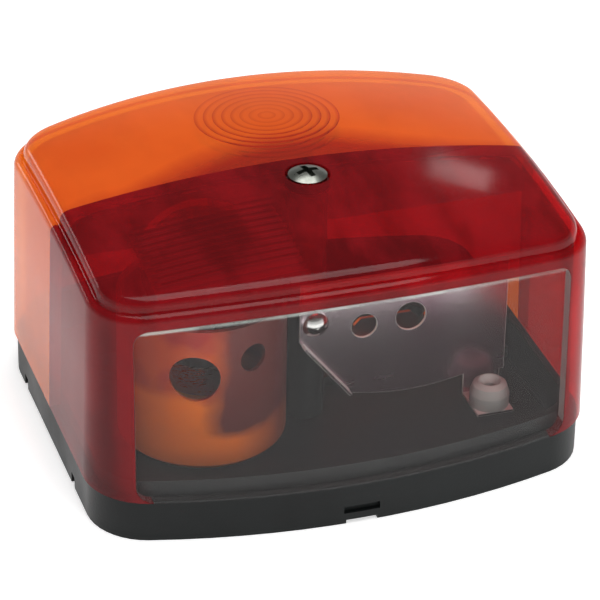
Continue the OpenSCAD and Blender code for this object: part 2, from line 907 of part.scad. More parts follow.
// Blade standing on the end of a foot that lies on the floor towards -Y
module blade(foot) {
    tip = 1.5;
    w = blade_w / 2;
    union() {
        translate([-w, -foot, floor_z])
            cube([blade_w, foot + blade_t, strip_t]);
        translate([0, blade_t, floor_z])
            rotate([90, 0, 0])
                linear_extrude(height = blade_t)
                    polygon([[-w, 0], [w, 0], [w, blade_h - tip], [w - tip, blade_h],
                        [tip - w, blade_h], [-w, blade_h - tip]]);
    }
}

module floor_hole(p) {
    translate([p[0], p[1], floor_z - eps])
        cylinder(d = rivet_d + 0.1, h = strip_t + 2 * eps);
}

module supply_terminals() {
    color([0.8, 0.78, 0.7])
    for (i = [0 : len(blade_xs) - 1])
        difference() {
            translate([blade_xs[i], blade_y, 0])
                blade(terminal_foot);
            floor_hole(blade_rivets[i]);
        }
}

// Strip along the floor from the indicator socket's flange, its end turned up as a blade
module earth_strip() {
    start = flange_d / 2 - 1.5;
    color([0.72, 0.6, 0.35])
    difference() {
        translate([earth_end + blade_t, indicator_y, 0])
            rotate([0, 0, 90])
                blade(-earth_end - blade_t - start);
        at_indicator()
            disc(flange_d, floor_z - eps, 3);
        floor_hole(earth_rivets[0]);
    }
}

// Domed heads with shanks in the floor
module terminal_rivets() {
    color([0.8, 0.8, 0.78])
    for (p = rivet_places)
        translate([p[0], p[1], 0])
            union() {
                disc(small_head_d, floor_z + strip_t, small_head_h);
                disc(rivet_d, back_pocket * 0.3, floor_z + strip_t - back_pocket * 0.3 + 0.1);
            }
}

// Grooved rubber ring that lines the cable hole
module cable_grommet() {
    neck = grommet_hole_d / 2;
    lip = neck + grommet_flange;
    bore = cable_d / 2 + 0.1;
    low = back_pocket - grommet_lip;
    high = floor_z + grommet_lip;
    color([0.09, 0.09, 0.09])
    at_grommet()
        rotate_extrude()
            polygon([[bore, low], [lip, low], [lip, back_pocket], [neck, back_pocket], [neck, floor_z],
                [lip, floor_z], [lip - 0.5, high], [bore, high]]);
}

base_tray();
lens_seal();
amber_lens();
red_lens();
plate_window();
lens_screw();
screw_washer();
indicator_bulb_glass();
indicator_bulb_cap();
indicator_filament();
indicator_socket();
indicator_contact_disc();
stop_tail_bulb_glass();
stop_tail_bulb_cap();
stop_tail_filaments();
stop_tail_socket();
stop_tail_contact_disc();
contact_studs();
stop_tail_reflector();
glare_plate();
plate_rivet();
plate_eyelet();
earth_strip();
supply_terminals();
terminal_rivets();
cable_grommet();
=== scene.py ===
import math

import bmesh
import bpy
from mathutils import Matrix, Vector


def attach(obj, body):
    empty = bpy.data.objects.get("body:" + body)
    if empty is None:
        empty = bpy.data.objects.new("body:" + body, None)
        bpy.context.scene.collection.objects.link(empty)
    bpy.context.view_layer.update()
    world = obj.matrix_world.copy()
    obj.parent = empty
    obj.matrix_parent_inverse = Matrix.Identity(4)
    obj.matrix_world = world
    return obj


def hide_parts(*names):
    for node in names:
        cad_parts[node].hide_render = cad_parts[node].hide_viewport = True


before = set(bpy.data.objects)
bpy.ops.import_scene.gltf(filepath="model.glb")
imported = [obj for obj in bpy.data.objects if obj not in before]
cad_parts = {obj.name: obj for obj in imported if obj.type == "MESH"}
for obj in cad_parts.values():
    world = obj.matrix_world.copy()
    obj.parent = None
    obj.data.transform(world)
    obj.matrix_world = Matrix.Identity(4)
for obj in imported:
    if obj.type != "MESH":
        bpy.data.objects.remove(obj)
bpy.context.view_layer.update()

MM = 0.001

# Sizes shared with the solids, in millimetres
LAMP_W, LAMP_D, LAMP_H = 106.0, 93.5, 59.4
SIDE_BOW, CORNER_R = 8.8, 13.5
SEAT_Z = 9.3
LENS_WALL = 2.4
DRAFT = 0.022
CROWN_X, CROWN_Y = 265.0, 331.0
SHOULDER_DROP, CAP_INSET = 2.5, 2.0
SEAM_Y = -1.0
WINDOW_W, WINDOW_R, WINDOW_BORDER, WINDOW_GAP = 90.7, 3.5, 2.7, 0.1
SCREW_Y, HEAD_D, HEAD_H, HEAD_PROUD = -7.6, 8.0, 2.4, 0.95
WASHER_T, SEAT_D, SHANK_HOLE_R = 0.7, HEAD_D + 1.2, 2.25
PILLAR_D, PILLAR_TOP = 8.5, 31.0
INDICATOR_Y, STOP_X = 19.7, -22.15
GLOBE_Z, GLASS_D = 41.1, 25.0
RING_PITCH, RING_COUNT = 1.9, 8
PAD_X, PAD_Y, RIDGES, RIDGE_PITCH, RIDGE_LEN = -24.0, -24.0, 11, 2.2, 30.0

HALF_W, HALF_D = LAMP_W / 2, LAMP_D / 2
BOW_R = (HALF_W**2 + SIDE_BOW**2) / (2 * SIDE_BOW)
CORNER_X = HALF_W - CORNER_R
BOW_ANGLE = math.asin(CORNER_X / (BOW_R - CORNER_R))
CORNER_Y = BOW_R - HALF_D - math.sqrt((BOW_R - CORNER_R) ** 2 - CORNER_X**2)
WALL_INSET = DRAFT * (LAMP_H - SEAT_Z)


def crown(x, y):
    """Height of the dome's outside."""
    return LAMP_H - x * x / (2 * CROWN_X) - y * y / (2 * CROWN_Y)


def window_top(x):
    """Height of the window's upper edge."""
    return crown(x, HALF_D - x * x / (2 * BOW_R) - WALL_INSET) - SHOULDER_DROP - WINDOW_BORDER


WASHER_UNDER = crown(0, SCREW_Y) + HEAD_PROUD - HEAD_H - WASHER_T
ABOVE_ALL = 64.0


# Camera
def make_camera():
    data = bpy.data.cameras.new("camera")
    camera = bpy.data.objects.new("camera", data)
    bpy.context.collection.objects.link(camera)
    turn, tilt, roll = math.radians(18.51), math.radians(30.91), math.radians(1.055)
    ahead = Vector((math.sin(turn) * math.cos(tilt), math.cos(turn) * math.cos(tilt), -math.sin(tilt)))
    right = ahead.cross(Vector((0, 0, 1))).normalized()
    up = right.cross(ahead)
    right, up = (
        math.cos(roll) * right + math.sin(roll) * up,
        math.cos(roll) * up - math.sin(roll) * right,
    )
    camera.matrix_world = Matrix(
        [
            (right.x, up.x, -ahead.x, 0),
            (right.y, up.y, -ahead.y, 0),
            (right.z, up.z, -ahead.z, 0),
            (0, 0, 0, 1),
        ]
    )
    target, distance = Vector((0, 0, 26.5)) * MM, 0.682
    camera.location = target - ahead * distance
    data.sensor_width = 36
    data.lens = 196.4
    data.shift_x = 0.011
    data.shift_y = -0.0086
    data.clip_start, data.clip_end = 0.01, 20
    bpy.context.scene.camera = camera


make_camera()


# Shader maths and materials
class Value:
    """A number that a shader node gives, with sums written as Python."""

    def __init__(self, finish, socket):
        self.finish, self.socket = finish, socket

    def _math(self, operation, first, second):
        return self.finish.add("ShaderNodeMath", {"operation": operation}, {0: first, 1: second})

    def __add__(self, other):
        return self._math("ADD", self, other)

    def __sub__(self, other):
        return self._math("SUBTRACT", self, other)

    def __rsub__(self, other):
        return self._math("SUBTRACT", other, self)

    def __mul__(self, other):
        return self._math("MULTIPLY", self, other)

    def __gt__(self, other):
        return self._math("GREATER_THAN", self, other)

    __radd__, __rmul__ = __add__, __mul__


class Finish:
    """One material, built up from nodes on the piece's own coordinates."""

    def __init__(self, name):
        self.material = bpy.data.materials.new(name)
        self.material.use_nodes = True
        self.nodes = self.material.node_tree.nodes
        self.links = self.material.node_tree.links
        self.nodes.clear()
        self.place = self.add("ShaderNodeTexCoord", output="Object")

    def add(self, kind, settings=None, inputs=None, output=0):
        """Adds a node with its settings, and then the values or links of its inputs."""
        node = self.nodes.new(kind)
        for key, value in (settings or {}).items():
            setattr(node, key, value)
        for key, value in (inputs or {}).items():
            if isinstance(value, Value):
                self.links.new(value.socket, node.inputs[key])
            else:
                node.inputs[key].default_value = value
        return Value(self, node.outputs[output])

    def axes(self):
        """The place on the piece as three numbers."""
        split = self.add("ShaderNodeSeparateXYZ", {}, {0: self.place}).socket.node.outputs
        return [Value(self, split[axis]) for axis in "XYZ"]

    def size_of(self, value):
        """A value without its sign."""
        return self.add("ShaderNodeMath", {"operation": "ABSOLUTE"}, {0: value})

    def step_of(self, value):
        """How far a value is on its way to the next whole number."""
        return self.add("ShaderNodeMath", {"operation": "FRACT"}, {0: value})

    def noise(self, scale, detail=4.0, rough=0.5, stretch=(1, 1, 1)):
        where = self.add("ShaderNodeMapping", {}, {"Vector": self.place, "Scale": stretch})
        return self.add(
            "ShaderNodeTexNoise",
            {},
            {"Vector": where, "Scale": scale, "Detail": detail, "Roughness": rough},
            "Fac",
        )

    def span(self, value, low, high, to_low, to_high):
        return self.add(
            "ShaderNodeMapRange",
            {"clamp": True},
            {"Value": value, "From Min": low, "From Max": high, "To Min": to_low, "To Max": to_high},
        )

    def mix(self, amount, first, second):
        return self.add(
            "ShaderNodeMix",
            {"data_type": "RGBA"},
            {"Factor": amount, 6: first, 7: second},
            2,
        )

    def bump(self, height, strength, distance):
        return self.add(
            "ShaderNodeBump", {}, {"Height": height, "Strength": strength, "Distance": distance}
        )

    def principled(self, **sockets):
        return self.add(
            "ShaderNodeBsdfPrincipled", {}, {k.replace("_", " "): v for k, v in sockets.items()}
        )

    def done(self, surface):
        out = self.nodes.new("ShaderNodeOutputMaterial")
        self.links.new(surface.socket, out.inputs["Surface"])
        return self.material


def rgb(r, g, b):
    return (r, g, b, 1.0)


def moulded_black():
    f = Finish("moulded black")
    grain = f.noise(1900, 2)
    cloud = f.noise(55, 4)
    scuff = f.noise(240, 6, 0.7, (1, 1, 5))
    worn = f.span(scuff, 0.62, 0.74, 0, 1) * f.span(cloud, 0.4, 0.7, 0.1, 0.7)
    shade = f.mix(f.span(cloud, 0.3, 0.7, 0, 1), rgb(0.006, 0.007, 0.007), rgb(0.012, 0.014, 0.014))
    shade = f.mix(worn, shade, rgb(0.035, 0.038, 0.037))
    return f.done(
        f.principled(
            Base_Color=shade,
            Roughness=f.span(cloud, 0.3, 0.7, 0.34, 0.5) + worn * 0.15,
            Specular_IOR_Level=0.2,
            Normal=f.bump(grain, 0.25, 0.00012),
        )
    )


def soft_rubber(name, colour):
    f = Finish(name)
    cloud = f.noise(120, 5)
    shade = f.mix(cloud, rgb(*[c * 0.7 for c in colour]), rgb(*[c * 1.4 for c in colour]))
    return f.done(
        f.principled(
            Base_Color=shade,
            Roughness=f.span(cloud, 0.3, 0.7, 0.6, 0.8),
            Normal=f.bump(f.noise(1400, 3), 0.3, 0.0001),
        )
    )


def see_through(f, skin, tint, solid):
    """Lets part of what is behind show in the tint, less where the surface is seen edge on."""
    through = f.add("ShaderNodeBsdfTransparent", {}, {"Color": rgb(*tint)})
    facing = f.add("ShaderNodeLayerWeight", {}, {"Blend": 0.5}, "Facing")
    square = facing * facing
    gloss = f.span(square * square * facing, 0.0, 1.0, 0.04, 1.0)
    amount = solid + gloss * (1 - solid)
    return f.done(f.add("ShaderNodeMixShader", {}, {0: amount, 1: through, 2: skin}))


def ring_lips(f):
    """1 on the riser of each stepped ring round the indicator's axis, 0 elsewhere: where shade is painted on
    the rings.
    """
    where = f.add("ShaderNodeVectorMath", {"operation": "SUBTRACT"},
                  {0: f.place, 1: (0, INDICATOR_Y * MM, 0)})
    flat = f.add("ShaderNodeVectorMath", {"operation": "MULTIPLY"}, {0: where, 1: (1, 1, 0)})
    radius = f.add("ShaderNodeVectorMath", {"operation": "LENGTH"}, {0: flat}, "Value")
    step = f.step_of(radius * (1000 / RING_PITCH))
    inside = radius > 0.0005
    reach = f.span(radius, RING_COUNT * RING_PITCH * MM, (RING_COUNT * RING_PITCH + 0.2) * MM, 1, 0)
    towards_seam = f.span(f.axes()[1], (INDICATOR_Y - 12) * MM, (INDICATOR_Y + 10) * MM, 1, 0.4)
    strength = f.span(radius, 0.004, 0.011, 0.45, 1) * towards_seam
    return f.span(step, 0.5, 0.98, 0, 1) * inside * reach * strength


def amber_painted_shade(f):
    """Painted shade on the rings' risers, and a painted shadow band beside the seam, where the red rib
    stands behind the dome.
    """
    x, y, z = f.axes()
    drift = (f.noise(90, 3) - 0.5) * 0.006
    reach = f.span(f.size_of(x), 0.010, 0.038, 0.013, 0.003)
    # Painted shadow of the red rib: a dark band beside the seam, on the top only
    foot = f.span(y + drift - reach, (SEAM_Y - 9) * MM, SEAM_Y * MM, 1, 0) * f.span(z, 0.046, 0.052, 0, 1)
    return f.span(ring_lips(f) + foot, 0, 1, 0, 1)


def red_painted_shade(f):
    """Painted shade in the prism pad's valleys, and down the front corners, where more plastic lies in the
    line of sight.
    """
    x, y, z = f.axes()
    # Painted shade down the walls of the front corners, fading out towards the top
    side = f.span(f.size_of(x), 0.0478, 0.0498, 0, 1) * f.span(y, -0.036, -0.031, 1, 0)
    return f.span(ridge_valleys(f) + side * f.span(z, 0.046, 0.052, 1, 0), 0, 1, 0, 1)


def ridge_valleys(f):
    """1 in each valley of the prism pad, 0 elsewhere: where shade is painted in the valleys."""
    x, y, _ = f.axes()
    left, right = (PAD_X - RIDGE_LEN / 2) * MM, (PAD_X + RIDGE_LEN / 2) * MM
    low, high = (PAD_Y - RIDGES * RIDGE_PITCH / 2) * MM, (PAD_Y + RIDGES * RIDGE_PITCH / 2) * MM
    step = f.step_of((y - low) * (1000 / RIDGE_PITCH))
    across = f.span(x, left, left + MM, 0, 1) * f.span(x, right - MM, right, 1, 0)
    along = f.span(y, low, low + MM, 0, 1) * f.span(y, high - MM, high, 1, 0)
    return f.span(step, 0.55, 0.95, 0, 1) * across * along


def tinted_lens(name, body, tint, solid, shade_marks=None, shade_colour=(0, 0, 0), streak_shade=0.0):
    """Clear moulded plastic: part of what is behind it shows in its colour, under a polished skin.

    Its shade_marks are places of painted shade in shade_colour, and streak_shade is how strongly it is
    mottled with painted shade.
    """
    f = Finish(name)
    cloud = f.noise(38, 3)
    hair = f.noise(700, 5, 0.7, (1, 0.12, 0.3))
    deep = rgb(*[c * 0.85 for c in body])
    pale = rgb(*[min(1, c * 1.12) for c in body])
    shade = f.mix(f.span(cloud, 0.3, 0.7, 0, 1), deep, pale)
    # Painted shade in streaks, as from broken reflections inside the plastic
    streaks = f.span(f.noise(75, 4, 0.6, (1, 0.4, 0.5)), 0.46, 0.60, 0, streak_shade)
    shade = f.mix(streaks, shade, rgb(*[c * 0.4 for c in body]))
    # Darker places here are painted shade
    if shade_marks is not None:
        shade = f.mix(shade_marks(f), shade, rgb(*shade_colour))
    scratch = f.span(hair, 0.62, 0.75, 0, 1)
    skin = f.principled(
        Base_Color=shade,
        Roughness=f.span(cloud, 0.3, 0.7, 0.07, 0.13) + scratch * 0.12,
        IOR=1.5,
        Normal=f.bump(f.noise(22, 2, 0.4), 0.08, 0.0004),
    )
    return see_through(f, skin, tint, solid)


def moulded_optics(name, body, dark, tint, solid, shade_marks):
    """The rings or ridges inside the lens, with painted shade on the ring risers and in the ridge valleys.
    """
    f = Finish(name)
    cloud = f.noise(60, 3)
    shade = f.mix(shade_marks(f), rgb(*body), rgb(*dark))
    shade = f.mix(f.span(cloud, 0.4, 0.7, 0, 0.3), shade, rgb(*dark))
    skin = f.principled(Base_Color=shade, Roughness=f.span(cloud, 0.3, 0.7, 0.1, 0.2))
    return see_through(f, skin, tint, solid)


def clear_pane():
    """The window: clear, with a painted highlight band along its upper edge, for the light its top edge
    refracts.
    """
    f = Finish("clear pane")
    cloud = f.noise(60, 4)
    hair = f.noise(900, 5, 0.7, (0.2, 1, 1))
    x, _, z = f.axes()
    middle, end = window_top(0), window_top(WINDOW_W / 2)
    sag = (middle - end) / (WINDOW_W / 2) ** 2 * 1000
    below_top = z + x * x * sag
    # Painted highlight in a band just below the window's top edge
    rim = f.span(below_top, (middle - 1.0) * MM, (middle - 0.55) * MM, 0, 1)
    rim = rim * f.span(f.noise(70, 3), 0.35, 0.6, 0.35, 1)
    skin = f.principled(
        Base_Color=f.mix(rim, rgb(0.35, 0.34, 0.34), rgb(0.66, 0.72, 0.66)),
        Roughness=f.span(cloud, 0.3, 0.7, 0.05, 0.1) + f.span(hair, 0.64, 0.76, 0, 0.15),
        Normal=f.bump(f.noise(14, 1, 0.3), 0.05, 0.0004),
    )
    return see_through(f, skin, (0.985, 0.985, 0.98), rim * 0.45 + 0.015)


def pane_edge_highlight():
    """The window's top and side edges, painted pale as a highlight where light leaves the clear plastic."""
    f = Finish("pane edge highlight")
    cloud = f.noise(160, 4)
    skin = f.principled(
        Base_Color=f.mix(cloud, rgb(0.62, 0.66, 0.62), rgb(0.80, 0.82, 0.79)),
        Roughness=f.span(cloud, 0.3, 0.7, 0.25, 0.4),
    )
    return see_through(f, skin, (0.9, 0.92, 0.9), 0.4)


def bulb_glass():
    f = Finish("bulb glass")
    cloud = f.noise(70, 3)
    skin = f.principled(
        Base_Color=rgb(0.3, 0.31, 0.32),
        Roughness=f.span(cloud, 0.3, 0.7, 0.02, 0.06),
    )
    return see_through(f, skin, (0.97, 0.98, 0.98), 0.05)


def bare_metal(name, bright, dull, rough, brushed=(1, 1, 6), tarnish=0.4, patch_colour=None,
               metallic=1.0, relief=0.12, play=0.2):
    """Sheet or turned metal with a drawn grain, clouded by handling; play is how uneven it is, and
    patch_colour is laid over it in random patches.
    """
    f = Finish(name)
    grain = f.noise(900, 4, 0.6, brushed)
    cloud = f.noise(90, 5, 0.6)
    blotch = f.span(cloud, 0.42, 0.68, 0, 1) * tarnish
    shade = f.mix(grain, rgb(*bright), rgb(*[c * (1 - 0.7 * play) for c in bright]))
    shade = f.mix(blotch, shade, rgb(*dull))
    if patch_colour is not None:
        shade = f.mix(f.span(f.noise(34, 3), 0.45, 0.62, 0, 0.8), shade, rgb(*patch_colour))
    return f.done(
        f.principled(
            Base_Color=shade,
            Metallic=metallic,
            Roughness=f.span(grain, 0.3, 0.7, rough * (1 - play), rough * (1 + play)) + blotch * play,
            Normal=f.bump(grain, relief, 0.00008),
        )
    )


def cup_with_painted_light():
    """Yellow passivated cup, painted with light: deep orange as the amber light on it, brightest at its
    foot, a painted dark red reflection of the red lens round its openings, and painted shade to the right
    above its foot.
    """
    f = Finish("cup zinc with painted light")
    x, _, z = f.axes()
    cloud = f.noise(45, 4)
    drift = (cloud - 0.5) * 0.012
    # Painted shade on the right side
    right = f.span(x + drift, -0.0265, -0.0215, 0, 1)
    foot = f.span(z + drift, 0.010, 0.013, 1, 0)
    # Painted light: the yellow deepened to orange as amber light, with a painted dark red reflection of the
    # red lens on the upper part
    top = f.span(z + drift, 0.0195, 0.0225, 0, 0.95) * f.span(f.noise(90, 2), 0.42, 0.55, 0.7, 1)
    shade = f.mix(top, rgb(1.0, 0.21, 0.005), rgb(0.36, 0.014, 0.014))
    shade = f.mix(f.span(f.noise(120, 5), 0.5, 0.7, 0, 0.3), shade, rgb(0.55, 0.13, 0.008))
    shade = f.mix(right, shade, rgb(0.14, 0.026, 0.022))
    # Painted amber light at the foot, turning to painted shade on the right
    rightmost = f.span(x + drift, -0.020, -0.010, 0, 1)
    bright_foot = f.mix(rightmost, rgb(1.0, 0.21, 0.01), rgb(0.30, 0.07, 0.03))
    shade = f.mix(foot, shade, bright_foot)
    return f.done(
        f.principled(
            Base_Color=shade,
            Metallic=0.12,
            Specular_IOR_Level=0.2,
            Roughness=f.span(cloud, 0.3, 0.7, 0.28, 0.42),
        )
    )


def laminated_board():
    f = Finish("laminated board")
    weave = f.noise(500, 5, 0.6, (1, 5, 1))
    shade = f.mix(weave, rgb(0.10, 0.045, 0.018), rgb(0.2, 0.10, 0.045))
    return f.done(f.principled(Base_Color=shade, Roughness=0.5, Normal=f.bump(weave, 0.2, 0.0001)))


def pale_moulding():
    f = Finish("pale moulding")
    cloud = f.noise(150, 4)
    shade = f.mix(cloud, rgb(0.50, 0.50, 0.48), rgb(0.62, 0.62, 0.60))
    return f.done(
        f.principled(
            Base_Color=shade,
            Roughness=f.span(cloud, 0.3, 0.7, 0.3, 0.45),
            Normal=f.bump(f.noise(900, 2), 0.15, 0.0001),
        )
    )


BLACK = moulded_black()
RUBBER = soft_rubber("soft rubber", (0.018, 0.018, 0.018))
AMBER = tinted_lens("amber plastic", (1.0, 0.18, 0.018), (0.99, 0.45, 0.05), 0.48, amber_painted_shade,
                    (0.36, 0.028, 0.012), 0.1)
AMBER_RINGS = moulded_optics("amber rings", (1.0, 0.30, 0.03), (0.36, 0.04, 0.004),
                             (0.97, 0.5, 0.1), 0.8, ring_lips)
RED = tinted_lens("red plastic", (0.34, 0.009, 0.015), (0.76, 0.035, 0.04), 0.36, red_painted_shade,
                  (0.15, 0.006, 0.009), 0.75)
RED_RIDGES = moulded_optics("red ridges", (0.62, 0.015, 0.022), (0.10, 0.003, 0.005),
                            (0.85, 0.07, 0.07), 0.7, ridge_valleys)
RED_INSIDE = tinted_lens("red mouldings", (0.45, 0.008, 0.012), (0.85, 0.07, 0.07), 0.5)
CLEAR = clear_pane()
EDGE_HIGHLIGHT = pane_edge_highlight()
GLASS = bulb_glass()
SCREW = bare_metal("plated screw", (0.28, 0.29, 0.26), (0.09, 0.10, 0.08), 0.26, (1, 1, 1), 0.8)
CAP_METAL = bare_metal("nickelled cap", (0.62, 0.58, 0.50), (0.35, 0.31, 0.25), 0.28)
WIRE = bare_metal("grey wire", (0.45, 0.45, 0.46), (0.2, 0.2, 0.2), 0.4)
ZINC = bare_metal("yellow zinc", (0.95, 0.46, 0.08), (0.80, 0.36, 0.10), 0.32, (1, 1, 1), 0.5,
                  (0.52, 0.28, 0.26), 0.6, 0.03)
CUP = cup_with_painted_light()
# Tinted mauve in its bright, dull and patch colours, as a painted reflection of the red lens
TINPLATE = bare_metal("bright tinplate", (0.74, 0.61, 0.66), (0.62, 0.52, 0.56), 0.26, (0.03, 0.3, 0.3), 0.3,
                      (0.52, 0.30, 0.38), 0.93, 0.0, 0.04)
# The plate's edges: bare metal, painted near white as a highlight along them
SHEARED_HIGHLIGHT = bare_metal("sheared edge with painted highlight", (0.96, 0.94, 0.92), (0.78, 0.76, 0.75), 0.4, (1, 1, 1), 0.3,
                     None, 0.1, 0.1)
RIVET = bare_metal("polished rivet", (0.88, 0.88, 0.87), (0.6, 0.6, 0.6), 0.14)
BRASS = bare_metal("plain brass", (0.72, 0.52, 0.2), (0.4, 0.27, 0.1), 0.28)
BOARD = laminated_board()
PALE = pale_moulding()

NODE_FINISHES = {
    "base_tray": BLACK,
    "lens_seal": RUBBER,
    "amber_lens": AMBER,
    "red_lens": RED,
    "plate_window": CLEAR,
    "lens_screw": SCREW,
    "screw_washer": RUBBER,
    "indicator_bulb_glass": GLASS,
    "indicator_bulb_cap": CAP_METAL,
    "indicator_filament": WIRE,
    "indicator_socket": ZINC,
    "indicator_contact_disc": BOARD,
    "stop_tail_bulb_glass": GLASS,
    "stop_tail_bulb_cap": CAP_METAL,
    "stop_tail_filaments": WIRE,
    "stop_tail_socket": ZINC,
    "stop_tail_contact_disc": BOARD,
    "contact_studs": BRASS,
    "stop_tail_reflector": CUP,
    "glare_plate": TINPLATE,
    "plate_rivet": RIVET,
    "plate_eyelet": PALE,
    "earth_strip": ZINC,
    "supply_terminals": TINPLATE,
    "terminal_rivets": RIVET,
    "cable_grommet": RUBBER,
}
for name, finish in NODE_FINISHES.items():
    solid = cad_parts[name]
    solid.data.materials.clear()
    solid.data.materials.append(finish)


# Tools for making pieces by hand
def deselect():
    if bpy.context.object and bpy.context.object.mode != "OBJECT":
        bpy.ops.object.mode_set(mode="OBJECT")
    bpy.ops.object.select_all(action="DESELECT")


def pick(piece):
    deselect()
    piece.select_set(True)
    bpy.context.view_layer.objects.active = piece


def loft(name, stations, levels, close_end):
    """Extrudes a ring of stations from level to level; a level gives each station's place in mm.

    The two ends are filled with faces, or joined where they are the same ring.
    """
    deselect()
    bpy.ops.mesh.primitive_circle_add(vertices=stations, radius=1)
    piece = bpy.context.object
    piece.name = piece.data.name = name
    bpy.ops.object.mode_set(mode="EDIT")
    mesh = bmesh.from_edit_mesh(piece.data)
    mark = mesh.verts.layers.int.new("station")
    for i, v in enumerate(mesh.verts):
        v[mark] = i
    for number, level in enumerate(levels):
        if number:
            bpy.ops.mesh.extrude_region_move()
            mesh = bmesh.from_edit_mesh(piece.data)
            mark = mesh.verts.layers.int["station"]
        for v in mesh.verts:
            if v.select:
                v.co = Vector(level(v[mark])) * MM
        bmesh.update_edit_mesh(piece.data)
    if close_end == "faces":
        bpy.ops.mesh.edge_face_add()
        bpy.ops.mesh.select_all(action="DESELECT")
        mesh = bmesh.from_edit_mesh(piece.data)
        for e in mesh.edges:
            if e.is_boundary:
                e.select = True
        bpy.ops.mesh.edge_face_add()
    bpy.ops.mesh.select_all(action="SELECT")
    if close_end == "join":
        bpy.ops.mesh.remove_doubles(threshold=1e-7)
    bpy.ops.mesh.normals_make_consistent(inside=False)
    bpy.ops.object.mode_set(mode="OBJECT")
    piece.data.attributes.remove(piece.data.attributes["station"])
    return piece


def copy_of(piece, name):
    made = piece.copy()
    made.data = piece.data.copy()
    made.name = made.data.name = name
    bpy.context.collection.objects.link(made)
    return made


def modify(piece, kind, **settings):
    pick(piece)
    modifier = piece.modifiers.new("step", kind)
    for key, value in settings.items():
        setattr(modifier, key, value)
    bpy.ops.object.modifier_apply(modifier=modifier.name)
    return piece


def carve(piece, cutter, operation="DIFFERENCE"):
    modify(piece, "BOOLEAN", operation=operation, object=cutter, solver="EXACT")
    bpy.data.objects.remove(cutter)
    return piece


def halve(piece, y, keep_back):
    """Cuts a closed piece square across at y and fills the cut."""
    pick(piece)
    bpy.ops.object.mode_set(mode="EDIT")
    bpy.ops.mesh.select_all(action="SELECT")
    bpy.ops.mesh.bisect(
        plane_co=(0, y * MM, 0),
        plane_no=(0, 1, 0),
        use_fill=True,
        clear_inner=keep_back,
        clear_outer=not keep_back,
    )
    bpy.ops.object.mode_set(mode="OBJECT")
    return piece


def smooth(piece, angle=35):
    pick(piece)
    bpy.ops.object.shade_smooth_by_angle(angle=math.radians(angle))
    return piece


def finish_piece(piece, material, slot, *nodes, angle=35):
    piece.data.materials.clear()
    piece.data.materials.append(material)
    smooth(piece, angle)
    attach(piece, "root")
    if nodes:
        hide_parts(*nodes)
    return piece


# Plan of the lamp, finer than the solids
BOW_STEPS, CORNER_STEPS = 18, 14
QUARTER = [BOW_ANGLE * i / BOW_STEPS for i in range(BOW_STEPS)] + [
    BOW_ANGLE + (math.pi / 2 - BOW_ANGLE) * i / CORNER_STEPS for i in range(CORNER_STEPS + 1)
]


def plan_point(a, inset):
    """A point of the front right quarter, at angle a round the bow and then the corner."""
    if a < BOW_ANGLE:
        r = BOW_R - inset
        return r * math.sin(a), BOW_R - HALF_D - r * math.cos(a)
    r = CORNER_R - inset
    return CORNER_X + r * math.sin(a), CORNER_Y - r * math.cos(a)


def plan(inset):
    """The whole outline of the lamp, moved inwards by inset."""
    front = [plan_point(a, inset) for a in QUARTER]
    front = [(-x, y) for x, y in front[:0:-1]] + front
    side_y = [f * CORNER_Y for f in (0.66, 0.33, 0, -0.33, -0.66)]
    right = [(HALF_W - inset, y) for y in side_y]
    back = [(-x, -y) for x, y in front]
    return front + right + back + [(-x, -y) for x, y in right]


STATIONS = len(plan(0))


def at_seat(inset, z=SEAT_Z):
    points = plan(inset)
    return lambda i: (points[i][0], points[i][1], z)


def below_crown(inset, drop, scale=1.0):
    points = plan(inset)

    def place(i):
        x, y = points[i][0] * scale, SEAM_Y + (points[i][1] - SEAM_Y) * scale
        return x, y, crown(x, y) - drop

    return place


def lens_shell():
    """The lens as one hollow piece, open below."""
    w, cap = WALL_INSET, WALL_INSET + CAP_INSET
    drop, edge = SHOULDER_DROP, cap + 2.6
    # Inset and drop along the shoulder, the groove and the cap's rounded edge
    profile = [
        (w, drop + 1.2), (w + 0.1, drop + 0.75), (w + 0.35, drop + 0.35), (w + 0.7, drop + 0.1),
        (w + 1.2, drop), (cap - 0.55, drop + 0.12), (cap - 0.3, drop + 0.35), (cap - 0.08, drop + 0.15),
        (cap + 0.04, 1.7), (cap + 0.15, 1.2), (cap + 0.34, 0.78), (cap + 0.62, 0.45),
        (cap + 1.0, 0.22), (cap + 1.5, 0.08), (edge, 0),
    ]
    levels = [at_seat(0), at_seat(w * 0.03, SEAT_Z + 1.5), at_seat(w * 0.5, (SEAT_Z + 55) / 2)]
    levels += [below_crown(*p) for p in profile]
    levels += [below_crown(edge, 0, f) for f in (0.94, 0.86, 0.76, 0.66, 0.56, 0.46, 0.36, 0.26, 0.16, 0.08)]
    outside = loft("lens_shell", STATIONS, levels + [below_crown(edge, 0, 0.03)], "faces")

    # The hollow: a rounded corner one wall thickness inside
    start, end = w + LENS_WALL, edge + 0.8
    levels = [at_seat(LENS_WALL, SEAT_Z - 5), at_seat(LENS_WALL)]
    for i in range(13):
        a = math.pi / 2 * i / 12
        levels.append(below_crown(start + (end - start) * (1 - math.cos(a)),
                                  LENS_WALL + (drop + 0.6) * (1 - math.sin(a))))
    levels += [below_crown(end, LENS_WALL, f) for f in (0.8, 0.6, 0.4, 0.2, 0.03)]
    return carve(outside, loft("hollow", STATIONS, levels, "faces"))


